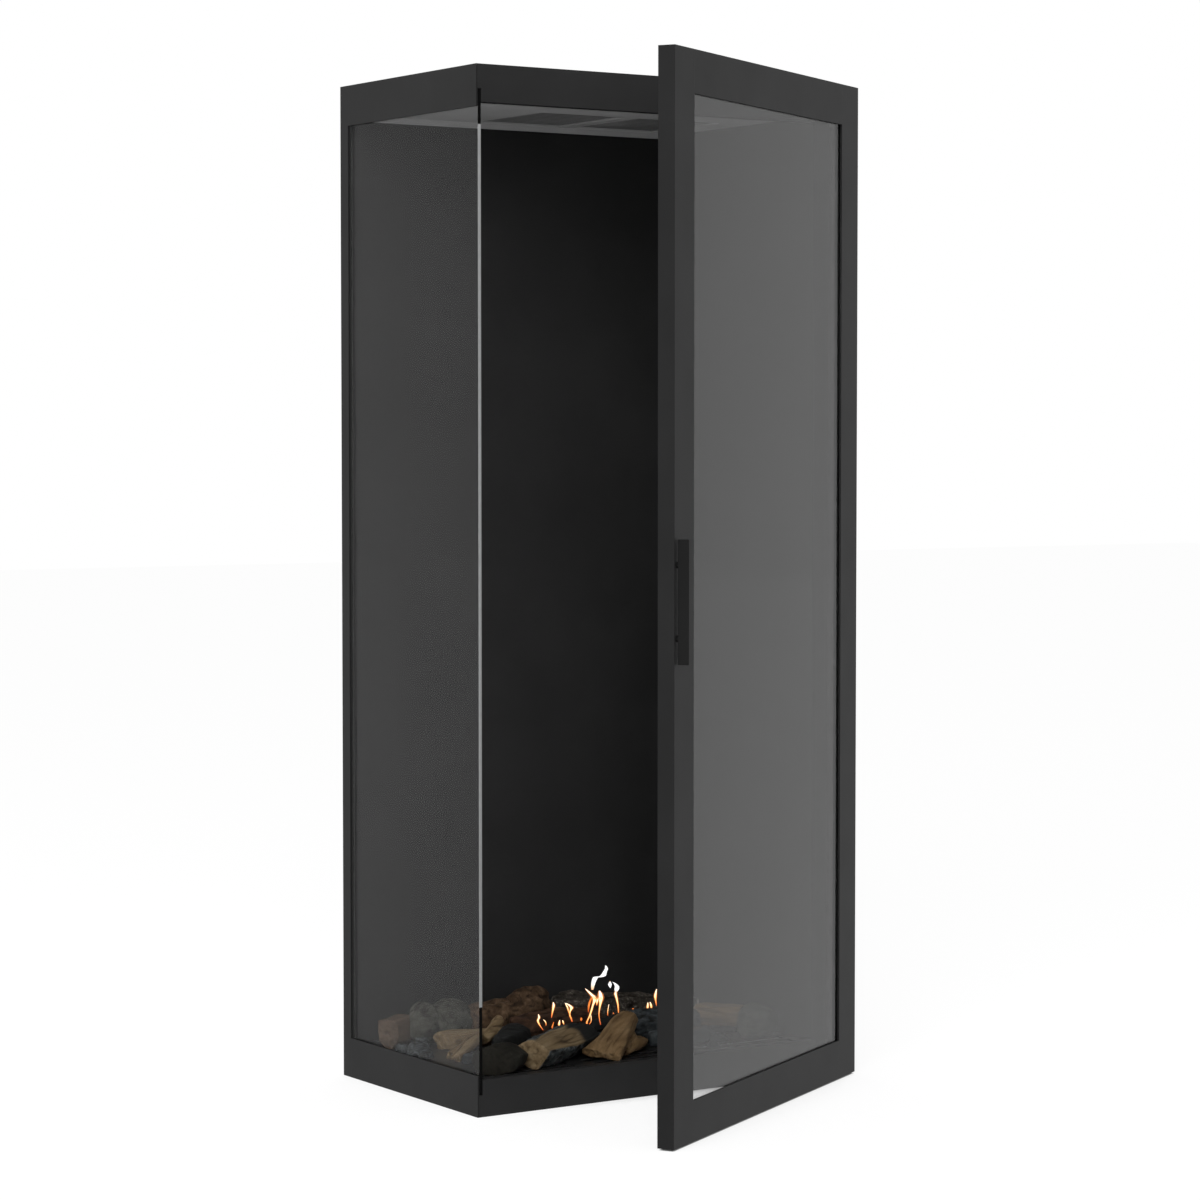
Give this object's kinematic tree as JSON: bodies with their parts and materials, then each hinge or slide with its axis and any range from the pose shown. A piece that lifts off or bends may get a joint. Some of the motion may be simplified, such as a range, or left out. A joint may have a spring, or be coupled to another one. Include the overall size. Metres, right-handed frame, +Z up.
{
  "type": "corner fireplace",
  "caption": "Tall gas corner fireplace, glazed on one side and by a hinged front door, with a log bed, gas burner and concentric flue collars.",
  "frame": {"origin": "centre of the cabinet's underside, on the surface it stands on", "axes": "+X to the viewer's right along the front, +Y from the front to the back, +Z up"},
  "size_m": [0.529, 0.6031, 1.2],
  "materials": {
    "black_coat": "satin powder coat",
    "handle_coat": "satin powder coat",
    "lining_coat": "matt heat-resistant paint",
    "plated_steel": "zinc-plated sheet",
    "stainless": "satin",
    "black_screws": "black oxide",
    "brass": "machined",
    "glazed_ceramic": "glazed",
    "clear_glass": "clear",
    "seal_fibre": "woven tape",
    "grey_green_bark": "matt, charred",
    "split_tan": "matt, grained",
    "blue_grey_char": "matt, charred",
    "red_brown_bark": "matt, crackled",
    "dark_grey_bark": "matt, bark"
  },
  "bodies": {
    "cabinet": {"base_tray": "plated_steel", "top_tray": "plated_steel", "lower_left_trim": "black_coat", "upper_left_trim": "black_coat", "lower_front_trim": "black_coat", "upper_front_trim": "black_coat", "rear_left_post": "black_coat", "front_right_post": "black_coat", "back_panel": "plated_steel", "right_side_panel": "plated_steel", "back_liner": "lining_coat", "right_liner": "lining_coat", "firebox_ceiling": "lining_coat", "ceiling_grilles": "lining_coat", "burner_deck": "lining_coat", "burner_tray": "lining_coat", "gas_injector": "brass", "gas_supply_pipe": "stainless", "gas_inlet_fitting": "brass", "pilot_burner": "stainless", "spark_electrode": "glazed_ceramic", "thermocouple": "stainless", "flue_collector": "plated_steel", "flue_inner_collar": "stainless", "flue_outer_collar": "stainless", "side_glass": "clear_glass", "side_glass_rear_seal": "seal_fibre", "side_glass_lower_seat": "black_coat", "side_glass_upper_seat": "black_coat", "catch_magnets": "stainless", "hinge_cabinet_leaves": "black_coat", "hinge_pins": "stainless", "log_front_left": "grey_green_bark", "log_front_middle": "split_tan", "log_front_right": "split_tan", "log_middle_right": "blue_grey_char", "log_middle": "red_brown_bark", "log_rear_left": "red_brown_bark", "log_rear_right": "dark_grey_bark", "log_side_block": "split_tan", "log_side_charred": "grey_green_bark", "log_right_stub": "split_tan", "log_right_split": "split_tan", "log_right_charred": "grey_green_bark", "log_forked": "split_tan", "thin_branches": "split_tan", "ceramic_chips": "blue_grey_char"},
    "door": {"hinge_door_leaves": "black_coat", "door_stile_hinge": "black_coat", "door_stile_free": "black_coat", "door_rail_bottom": "black_coat", "door_rail_top": "black_coat", "door_glass": "clear_glass", "door_glass_seal": "seal_fibre", "door_glass_retainer": "black_coat", "retainer_screws": "black_screws", "door_gasket": "seal_fibre", "door_handle": "handle_coat", "handle_spacers": "handle_coat", "handle_screws": "black_screws"}
  },
  "joints": [
    {"name": "door_hinge", "type": "hinge", "parent": "cabinet", "child": "door", "pos_m": [0.2595, -0.158, 0.6], "axis": [0, 0, 1], "range_deg": [-30, 80]}
  ]
}
